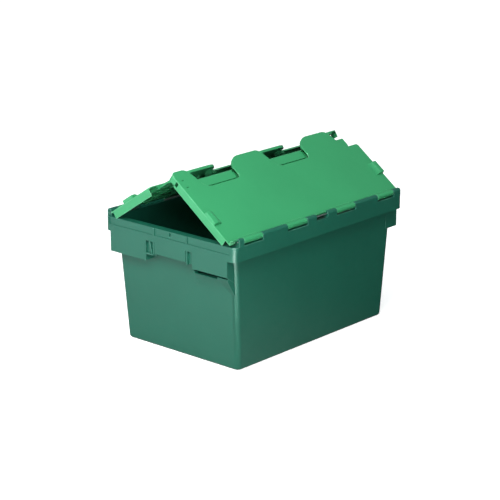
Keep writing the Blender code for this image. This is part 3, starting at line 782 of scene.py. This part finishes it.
def add_apron(additions, cuts):
    """Add the wedge under the shallow panel, with the stepped slot between them."""
    start, stop, depth = SHALLOW_PANEL
    top = RIM_TOP - depth - APRON_DROP
    outer = HALF_LENGTH - APRON_SETBACK
    low = top - APRON_HEIGHT
    inner_top = tub_half_sizes(top, WALL_MIDDLE)[0]
    inner_low = tub_half_sizes(low, WALL_MIDDLE)[0]
    corners = ((outer, top), (inner_top, top), (inner_low, low), (outer, top - APRON_LIP))
    profile = [Vector((-x, z)) for x, z in corners]
    dip_start, dip_stop, dip_depth = APRON_DIP
    low_corner = (-outer - EMBED, dip_start, top - dip_depth)
    high_corner = (-inner_top - sizes().wall, dip_stop, top + EMBED)
    dip = add_block(low_corner, high_corner, cuts, radius=0.0)
    opposite(dip, cuts)
    return add_prism([profile], start + EMBED, stop - EMBED, additions, along="Y", radius=FINE_ROUND)


def add_gusset(additions):
    """Add the upright gusset beside the rim corner, which tapers into the wall."""
    y = SHALLOW_PANEL[0] + EMBED / 2
    top, knee = RIM_TOP - BAND_HEIGHT + EMBED, RIM_TOP - SHALLOW_PANEL[2]
    low = top - GUSSET_LENGTH
    outer = HALF_LENGTH - EMBED
    inner_top, inner_low = tub_half_sizes(top, WALL_MIDDLE)[0], tub_half_sizes(low, WALL_MIDDLE)[0]
    corners = ((outer, top), (inner_top, top), (inner_low, low), (outer, knee))
    profile = [Vector((-x, z)) for x, z in corners]
    return add_prism([profile], y, y + sizes().rib, additions, along="Y", radius=FINE_ROUND)


def add_end(additions, cuts):
    """Model the end at -X and turn it round to the other end."""
    shapes = add_end_panels(additions) + add_webs(additions)
    shapes += [add_apron(additions, cuts), add_gusset(additions)]
    for shape in shapes:
        opposite(shape, additions)
    face = -HALF_LENGTH
    seat_end = HALF_WIDTH - FLANGE_SEAT_END
    seat_floor = RIM_TOP - FLANGE_SEAT_HEIGHT
    stops = [-seat_end, *WEB_RIBS[0], *WEB_RIBS[1], seat_end]
    for start, stop in zip(stops[0::2], stops[1::2]):
        seat = add_block(
            (face - BAND_THICKNESS, start, seat_floor),
            (face + FLANGE_SEAT_INSET, stop, RIM_TOP + LEDGE_THICKNESS),
            cuts,
            radius=0.0,
        )
        opposite(seat, cuts)
    seal_z = RIM_TOP - SEAL_HOLE_DROP
    across, up = SEAL_HOLE_HALF
    seal = add_block(
        (face - FLANGE_SEAT_INSET, SEAL_HOLE_Y - across, seal_z - up),
        (face + FLANGE_SEAT_INSET + 2 * BAND_THICKNESS, SEAL_HOLE_Y + across, seal_z + up),
        cuts,
        radius=0.0,
    )
    opposite(seal, cuts)


def add_long_side(additions, cuts):
    """Model the long side at -Y: knuckles on the rim, the sill under the tab, ribs under the band."""
    front, back = -HALF_WIDTH, -AXIS_Y + BARREL_RADIUS
    low, high = RIM_TOP - LEDGE_THICKNESS * 0.6, AXIS_Z + BARREL_RADIUS
    corners = [(front, low, 0), (back, low, 0), (back, high, KNUCKLE_RADIUS), (front, high, KNUCKLE_RADIUS)]
    profile = rounded_outline(corners, steps=8)
    shapes = [add_prism([profile], start, stop, additions, along="X") for start, stop in body_knuckles()]
    shapes.append(
        add_block(
            (-TAB_HALF_WIDTH - 2 * TAB_GAP, front + EMBED / 10, RIM_TOP - 2 * EMBED),
            (TAB_HALF_WIDTH + 2 * TAB_GAP, front + SILL_THICKNESS, RIM_TOP + SILL_HEIGHT),
            additions,
            radius=FINE_ROUND,
        )
    )
    rib = sizes().rib
    count = int((2 * HALF_LENGTH - 4 * RIM_CORNER_RADIUS) / SIDE_RIB_PITCH)
    for number in range(count):
        middle = (number - (count - 1) / 2) * SIDE_RIB_PITCH
        shapes.append(
            add_block(
                (middle - rib / 2, front + BAND_THICKNESS / 2, RIM_TOP - BAND_HEIGHT + SIDE_RIB_RISE),
                (middle + rib / 2, front + BASE_INSET[1] + sizes().wall, RIM_TOP - 2 * EMBED),
                additions,
                radius=RIB_ROUND,
            )
        )
    for shape in shapes:
        opposite(shape, additions)
    bore = add_barrel(-HALF_LENGTH, HALF_LENGTH, -AXIS_Y, AXIS_Z, BORE_RADIUS, cuts, segments=24, edge=0.0)
    opposite(bore, cuts)


def add_floor_ribs(additions):
    """Add the low raised ribs that stiffen the tub's floor inside."""
    floor = sizes().wall
    half_x, half_y = tub_half_sizes(floor, 0.030)
    for x in (-0.150, 0.0, 0.150):
        add_block((x - 0.004, -half_y, floor - EMBED), (x + 0.004, half_y, floor + 0.0012), additions)
    for y in (-0.060, 0.060):
        add_block((-half_x, y - 0.004, floor - EMBED), (half_x, y + 0.004, floor + 0.0010), additions)


def make_tub():
    """Make the tub with its rim, end skirts and knuckles as one moulding."""
    wall = sizes().wall
    scene_root = bpy.context.scene.collection
    additions, cuts = helper_collection("tub_additions"), helper_collection("tub_cutters")
    shoulder = RIM_TOP - LEDGE_THICKNESS / 2
    base, top = tub_half_sizes(0.0), tub_half_sizes(shoulder)
    tub = add_tapered_block(base, top, 0.0, shoulder, TUB_CORNER_RADIUS, TUB_EDGE_RADIUS, scene_root)
    tub.name = "tub_moulding"
    add_rim(additions)
    add_end(additions, cuts)
    add_long_side(additions, cuts)
    above = RIM_TOP + AXIS_HEIGHT
    base, top = tub_half_sizes(wall, wall), tub_half_sizes(above, wall)
    add_tapered_block(base, top, wall, above, TUB_CORNER_RADIUS - wall, TUB_EDGE_RADIUS, cuts)
    combine(tub, additions, cuts)
    ribs, nothing = helper_collection("floor_ribs"), helper_collection("no_cutters")
    add_floor_ribs(ribs)
    combine(tub, ribs, nothing)
    return tub


# ---------------------------------------------------------------- lids


def slanted(middle, across):
    """X of a slanted finger side at a distance across the lid."""
    return middle - SLANT * (across - AXIS_Y)


def lid_outline():
    """Outline of the lid plate: straight along the hinge, three fingers along the meeting edge."""
    half_gap = SIDE_GAP / 2
    tip, root, end = FINGER_TIP, FINGER_ROOT, LID_HALF_LENGTH
    straight_b, straight_c = -STRAIGHT_SIDE + half_gap, STRAIGHT_SIDE + half_gap
    corners = [
        (-end, PLATE_START, 0),
        (end, PLATE_START, 0),
        (end, root, PLATE_CORNER_RADIUS),
        (slanted(SLANTED_SIDE - half_gap, root), root, PLATE_CORNER_RADIUS),
        (slanted(SLANTED_SIDE - half_gap, tip), tip, SLANTED_RADIUS),
        (straight_c, tip, LEADING_RADIUS),
        (straight_c, root, HEEL_RADIUS),
        (slanted(-half_gap, root), root, SLANTED_RADIUS),
        (slanted(-half_gap, tip), tip, SLANTED_RADIUS),
        (straight_b, tip, LEADING_RADIUS),
        (straight_b, root, HEEL_RADIUS),
        (slanted(-SLANTED_SIDE - half_gap, root), root, SLANTED_RADIUS),
        (slanted(-SLANTED_SIDE - half_gap, tip), tip, SLANTED_RADIUS),
        (-end, tip, TIP_CORNER_RADIUS),
    ]
    return rounded_outline(corners, steps=14)


def recess_outline(start, stop, reach, margin):
    """Outline of a recess between two fingers, grown by a margin except at its open side."""
    root = FINGER_ROOT - margin
    high = stop + SIDE_GAP / 2 + margin
    corners = [
        (slanted(start - SIDE_GAP / 2, reach) - margin, reach, 0),
        (slanted(start - SIDE_GAP / 2, root) - margin, root, SLANTED_RADIUS + margin),
        (high, root, HEEL_RADIUS + margin),
        (high, reach, 0),
    ]
    return rounded_outline(corners, steps=RECESS_STEPS)


def finger_outline(straight, middle, base, margin):
    """Outline of a finger from a base line to its tip, shrunk by a margin except at its base."""
    tip = FINGER_TIP - margin
    low = straight + SIDE_GAP / 2 + margin
    corners = [
        (low, base, 0),
        (slanted(middle - SIDE_GAP / 2, base) - margin, base, 0),
        (slanted(middle - SIDE_GAP / 2, tip) - margin, tip, SLANTED_RADIUS - margin),
        (low, tip, LEADING_RADIUS - margin),
    ]
    return rounded_outline(corners, steps=RECESS_STEPS)


def add_lid_ends(additions, cuts):
    """Add the flanges with their window and curled tip, the stacking bosses and the seal slots."""
    window_start, window_stop = FLANGE_WINDOW
    window_low, window_high = FLANGE_WINDOW_HEIGHTS
    for side, start, stop, bottom in (
        (-1, FLANGE_HEEL, window_stop, FLANGE_BOTTOM),
        (-1, window_start, FINGER_TIP - TIP_CORNER_RADIUS + EMBED / 4, FLANGE_TIP_BOTTOM),
        (1, FLANGE_HEEL, FINGER_ROOT - PLATE_CORNER_RADIUS, FLANGE_BOTTOM),
    ):
        outer = side * LID_HALF_LENGTH
        inner = outer - side * FLANGE_THICKNESS
        add_block((min(outer, inner), start, bottom), (max(outer, inner), stop, PLATE_MIDDLE), additions)
    turns = [math.radians(6.0 * step) for step in range(7)]
    centre = Vector((-LID_HALF_LENGTH + TIP_CORNER_RADIUS, FINGER_TIP - TIP_CORNER_RADIUS))
    curl = [
        centre + radius * Vector((-math.cos(turn), math.sin(turn)))
        for radius, order in ((TIP_CORNER_RADIUS, turns), (TIP_CORNER_RADIUS - FLANGE_THICKNESS, turns[::-1]))
        for turn in order
    ]
    add_prism([curl], FLANGE_TIP_BOTTOM, PLATE_MIDDLE, additions, radius=0.0)
    add_block(
        (-HALF_LENGTH - EMBED, window_start, window_low),
        (-LID_HALF_LENGTH + FLANGE_THICKNESS + EMBED, window_stop, window_high),
        cuts,
        radius=0.0,
    )
    start, stop, height = BOSS
    for side in (-1, 1):
        outer = side * LID_HALF_LENGTH
        inner = outer - side * BOSS_WIDTH
        ramp = outer - side * BOSS_RAMP

        def slope(co, ramp=ramp, inner=inner):
            """Run the boss's inner side down to the plate as a ramp."""
            at_inner = abs(co.x - inner) < EMBED
            return (ramp - inner if at_inner and co.z < 0 else 0.0, 0.0, 0.0)

        add_block(
            (min(outer, inner), start, PLATE_MIDDLE),
            (max(outer, inner), stop, PLATE_TOP + height),
            additions,
            radius=BOSS_ROUND,
            shift=slope,
        )
    middle = AXIS_Y - 0.010
    for across in (middle - 0.010, middle + 0.010):
        add_block(
            (-LID_HALF_LENGTH + SEAL_SLOT_INSET[0], across, SEAL_SLOT_BOTTOM),
            (-LID_HALF_LENGTH + SEAL_SLOT_INSET[1], across + SEAL_SLOT_WIDTH, 0.0),
            cuts,
            radius=0.0,
        )


def add_tongues(additions, cuts):
    """Add the lowered tongue in each recess, with the wall that ties it to the plate.

    A slot along the root and the straight side parts each middle tongue from its wall. The recess at
    the end of the lid is open on its outer side.
    """
    reach = FINGER_ROOT + TONGUE_REACH
    bottom = TONGUE_TOP - TONGUE_THICKNESS
    trough_bottom = bottom - TROUGH_DEPTH
    under_trough = trough_bottom - TROUGH_FLOOR
    recesses = ((-SLANTED_SIDE, -STRAIGHT_SIDE), (0.0, STRAIGHT_SIDE), (SLANTED_SIDE, END_TONGUE_EDGE))
    for start, stop in recesses:
        outer = recess_outline(start, stop, reach, RISER_THICKNESS)
        inner = recess_outline(start, stop, reach, SETBACK)
        between = recess_outline(start, stop, reach, RISER_THICKNESS / 2)
        kept = RECESS_STEPS + 2
        outer = outer[:kept] + [Vector((stop, FINGER_ROOT - RISER_THICKNESS))]
        inner = inner[:kept] + [Vector((stop, FINGER_ROOT - SETBACK))]
        add_prism([between], bottom, TONGUE_TOP, additions)
        add_prism([outer + inner[::-1]], bottom - EMBED / 2, PLATE_MIDDLE, additions, radius=0.0)
        if stop == END_TONGUE_EDGE:
            continue
        near, far = TONGUE_SLOT
        side, beyond = stop + SIDE_GAP / 2 + SLOT_SIDE_OFFSET, reach - 2 * EMBED
        left = slanted(start, FINGER_ROOT) + SLOT_START
        slot = [
            (left, FINGER_ROOT + near, 0),
            (side, FINGER_ROOT + near, HEEL_RADIUS - near),
            (side, beyond, 0),
            (side - SLOT_WIDTH, beyond, 0),
            (side - SLOT_WIDTH, FINGER_ROOT + far, HEEL_RADIUS - far),
            (left, FINGER_ROOT + far, 0),
        ]
        add_prism([rounded_outline(slot)], trough_bottom, TONGUE_TOP + EMBED, cuts, radius=0.0)
        rim = TROUGH_WALL
        trough = [
            (left - rim, FINGER_ROOT + near - rim, 0),
            (side + rim, FINGER_ROOT + near - rim, HEEL_RADIUS - near),
            (side + rim, beyond + rim, 0),
            (side - SLOT_WIDTH - rim, beyond + rim, 0),
            (side - SLOT_WIDTH - rim, FINGER_ROOT + far + rim, HEEL_RADIUS - far),
            (left - rim, FINGER_ROOT + far + rim, 0),
        ]
        add_prism([rounded_outline(trough)], under_trough, bottom + EMBED / 2, additions, radius=0.0)
        add_block(
            (side - EMBED, FINGER_ROOT + far, under_trough),
            (side + POCKET_WIDTH + rim, beyond + rim, PLATE_MIDDLE),
            additions,
            radius=0.0,
        )
        add_block(
            (side - EMBED, FINGER_ROOT + far + rim, trough_bottom),
            (side + POCKET_WIDTH, beyond, PLATE_BOTTOM - EMBED / 4),
            cuts,
            radius=0.0,
        )


def add_finger_lips(additions):
    """Add the turned-down lip round each middle finger, and under the end finger's tip."""
    base = FINGER_ROOT + TONGUE_REACH - EMBED
    margin = SETBACK + LIP_THICKNESS
    for straight, middle in ((-STRAIGHT_SIDE, 0.0), (STRAIGHT_SIDE, SLANTED_SIDE)):
        outer = finger_outline(straight, middle, base, SETBACK)
        inner = finger_outline(straight, middle, base - EMBED, margin)
        ring = outer[1:] + outer[:1] + inner[:1] + inner[:0:-1]
        add_prism([ring], LIP_BOTTOM, PLATE_MIDDLE, additions, radius=0.0)
    add_block(
        (-LID_HALF_LENGTH + END_LIP_INSET, FINGER_TIP - margin, LIP_BOTTOM),
        (-SLANTED_SIDE - SLANTED_RADIUS, FINGER_TIP - SETBACK, PLATE_MIDDLE),
        additions,
        radius=FINE_ROUND,
    )


def add_underside_ribs(additions):
    """Add the shallow grid of ribs that stiffens the plate underneath."""
    bottom = PLATE_BOTTOM - sizes().lid_rib_depth
    start, stop = 0.024, 0.156
    reach = 0.272
    rib = 0.002
    for across in (0.050, 0.085, 0.120):
        low, high = (-reach, across - rib / 2, bottom), (reach, across + rib / 2, PLATE_MIDDLE)
        add_block(low, high, additions, radius=RIB_ROUND)
    count = 9
    for number in range(count):
        x = -reach + rib + (2 * reach - 2 * rib) * number / (count - 1)
        low, high = bottom - EMBED / 4, PLATE_MIDDLE - EMBED / 4
        add_block((x - rib / 2, start, low), (x + rib / 2, stop, high), additions, radius=RIB_ROUND)


def tab_profile():
    """Outline, across the hinge, of a tab that curls up from the plate and round the wire."""
    inner_radius = TAB_RADIUS - TAB_THICKNESS
    first, last = TAB_SPAN
    steps = 20
    turns = [first + (last - first) * step / steps for step in range(steps + 1)]
    outer = [Vector((TAB_RADIUS * math.cos(turn), TAB_RADIUS * math.sin(turn))) for turn in turns]
    inner = [Vector((inner_radius * math.cos(turn), inner_radius * math.sin(turn))) for turn in turns]
    return outer + inner[::-1]


def add_lid_hinge(additions, cuts):
    """Add the lid's knuckles on their necks, and its two tabs that curl round the wire."""
    neck_top = PLATE_TOP + NECK_RISE
    neck_end = PLATE_START + NECK_LAP
    for start, stop in LID_KNUCKLES:
        add_barrel(start, stop, 0.0, 0.0, BARREL_RADIUS, additions)
        add_block((start, 0.0, PLATE_BOTTOM), (stop, neck_end, neck_top), additions, radius=HINGE_ROUND)
    for start, stop in ((-LID_HALF_LENGTH, -END_KNUCKLE - TAB_GAP), (-TAB_HALF_WIDTH, TAB_HALF_WIDTH)):
        add_prism([tab_profile()], start, stop, additions, along="X", radius=HINGE_ROUND)
        add_block(
            (start, (TAB_RADIUS - TAB_THICKNESS / 2) * math.cos(TAB_SPAN[0]), PLATE_BOTTOM),
            (stop, neck_end, PLATE_TOP - EMBED / 2),
            additions,
            radius=HINGE_ROUND,
        )
    add_barrel(-HALF_LENGTH, HALF_LENGTH, 0.0, 0.0, BORE_RADIUS, cuts, segments=24, edge=0.0)


def make_lid():
    """Make one lid about its hinge axis, in its closed position."""
    additions, cuts = helper_collection("lid_additions"), helper_collection("lid_cutters")
    scene_root = bpy.context.scene.collection
    lid = add_prism([lid_outline()], PLATE_BOTTOM, PLATE_TOP, scene_root, radius=PLATE_ROUND)
    add_lid_ends(additions, cuts)
    add_tongues(additions, cuts)
    add_finger_lips(additions)
    add_underside_ribs(additions)
    add_lid_hinge(additions, cuts)
    combine(lid, additions, cuts)
    return lid


# ---------------------------------------------------------------- operators


class TOTE_OT_tub(bpy.types.Operator):
    """Build the tub moulding with its rim, end skirts and hinge knuckles"""

    bl_idname = "tote.tub"
    bl_label = "Tub"

    def execute(self, context):
        colour = tuple(colours().body)
        # The pale edge colour is part rub wear, part painted highlight.
        plastic = moulded_polypropylene("moulded_polypropylene_dark_green", colour, "#7fb3a4", 0.42)
        finish_moulding(make_tub(), plastic, "tub", "container_body")
        return {"FINISHED"}


class TOTE_OT_lids(bpy.types.Operator):
    """Build both lids from one moulding, each at its rest angle on its own hinge"""

    bl_idname = "tote.lids"
    bl_label = "Lids"

    def execute(self, context):
        colour = tuple(colours().lid)
        # The pale edge colour is part rub wear, part painted highlight.
        plastic = moulded_polypropylene("moulded_polypropylene_leaf_green", colour, "#9fe0bb", 0.40)
        front = make_lid()
        front.name = "front_lid_moulding"
        back = bpy.data.objects.new("back_lid_moulding", front.data.copy())
        context.scene.collection.objects.link(back)
        for lid, body, y, angle, turn in (
            (front, "front_lid", -AXIS_Y, FRONT_ANGLE, 0.0),
            (back, "back_lid", AXIS_Y, BACK_ANGLE, math.pi),
        ):
            place = Matrix.Translation((0.0, y, AXIS_Z)) @ Matrix.Rotation(turn, 4, "Z")
            lid.data.transform(place @ Matrix.Rotation(angle, 4, "X"))
            finish_moulding(lid, plastic, body, body)
        return {"FINISHED"}


class TOTE_OT_hinge_wires(bpy.types.Operator):
    """Build the two straight galvanised hinge wires with rounded ends"""

    bl_idname = "tote.hinge_wires"
    bl_label = "Hinge wires"

    def execute(self, context):
        steel = galvanised_steel_wire("drawn_galvanised_steel", tuple(colours().steel))
        for node in ("front_hinge_rod", "back_hinge_rod"):
            low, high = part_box(node)
            middle = (low + high) / 2
            radius = sizes().wire / 2
            bm = bmesh.new()
            turn = Matrix.Translation(middle) @ Matrix.Rotation(math.pi / 2, 4, "Y")
            long = high.x - low.x
            bmesh.ops.create_cone(
                bm, cap_ends=True, segments=24, radius1=radius, radius2=radius, depth=long, matrix=turn
            )
            round_edges(bm, radius * 0.4, segments=3)
            wire = add_shape(bm, context.scene.collection, node.replace("rod", "wire"))
            wire.data.shade_smooth()
            wire.data.set_sharp_from_angle(angle=SMOOTH_ANGLE)
            wire.data.materials.append(steel)
            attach(wire, "tub")
            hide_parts(node)
        return {"FINISHED"}


class TOTE_OT_stage(bpy.types.Operator):
    """Set up the pale floor, the soft studio light and the camera"""

    bl_idname = "tote.stage"
    bl_label = "Studio"

    def execute(self, context):
        scene = context.scene
        bm = bmesh.new()
        bmesh.ops.create_circle(bm, cap_ends=True, segments=96, radius=14.0)
        floor = add_shape(bm, scene.collection, "studio_floor")
        floor.location.z = -0.0002
        floor.data.materials.append(studio_floor_paint("matt_white_paint"))

        scene.world = studio_air("studio_air")
        sky = bpy.data.lights.new("sky_light", "SUN")
        sky.energy, direction = SKY_LIGHT
        sky.angle = math.radians(50.0)
        sky_light = bpy.data.objects.new("sky_light", sky)
        sky_light.rotation_euler = Vector(direction).to_track_quat("Z", "Y").to_euler()
        scene.collection.objects.link(sky_light)
        for name, place, size, power, tint in SOFTBOXES:
            lamp = bpy.data.lights.new(name, "AREA")
            lamp.shape = "SQUARE"
            lamp.size = size
            lamp.energy = power
            lamp.color = tint
            light = bpy.data.objects.new(name, lamp)
            light.location = place
            aim = Vector((0.0, 0.0, 0.2)) - Vector(place)
            light.rotation_euler = aim.to_track_quat("-Z", "Y").to_euler()
            light.visible_camera = False
            scene.collection.objects.link(light)

        level = math.cos(CAMERA_ELEVATION)
        east, north = math.sin(CAMERA_AZIMUTH) * level, -math.cos(CAMERA_AZIMUTH) * level
        back = Vector((east, north, math.sin(CAMERA_ELEVATION)))
        lens = bpy.data.cameras.new("studio_camera")
        lens.sensor_width = 36.0
        lens.lens = CAMERA_LENS
        lens.shift_x, lens.shift_y = CAMERA_SHIFT
        lens.clip_end = 100.0
        camera = bpy.data.objects.new("studio_camera", lens)
        camera.location = Vector(CAMERA_TARGET) + back * CAMERA_DISTANCE
        camera.rotation_euler = (-back).to_track_quat("-Z", "Y").to_euler()
        scene.collection.objects.link(camera)
        scene.camera = camera
        scene.view_settings.view_transform = "Standard"
        return {"FINISHED"}


class TOTE_PT_panel(bpy.types.Panel):
    """Sizes, colours and building steps of the tote"""

    bl_idname = "TOTE_PT_panel"
    bl_label = "Attached lid tote"
    bl_space_type = "VIEW_3D"
    bl_region_type = "UI"
    bl_category = "Tote"

    def draw(self, context):
        for group in (context.scene.tote_sizes, context.scene.tote_colours):
            for name in group.__annotations__:
                self.layout.prop(group, name)
        for operator in STEPS:
            self.layout.operator(operator.bl_idname)


STEPS = (TOTE_OT_stage, TOTE_OT_tub, TOTE_OT_lids, TOTE_OT_hinge_wires)
CLASSES = (ToteSizes, ToteColours, *STEPS, TOTE_PT_panel)


def register():
    for item in CLASSES:
        bpy.utils.register_class(item)
    bpy.types.Scene.tote_sizes = PointerProperty(type=ToteSizes)
    bpy.types.Scene.tote_colours = PointerProperty(type=ToteColours)


def unregister():
    del bpy.types.Scene.tote_colours
    del bpy.types.Scene.tote_sizes
    for item in reversed(CLASSES):
        bpy.utils.unregister_class(item)


def main():
    register()
    bpy.ops.tote.stage()
    bpy.ops.tote.tub()
    bpy.ops.tote.lids()
    bpy.ops.tote.hinge_wires()


if __name__ == "__main__":
    main()
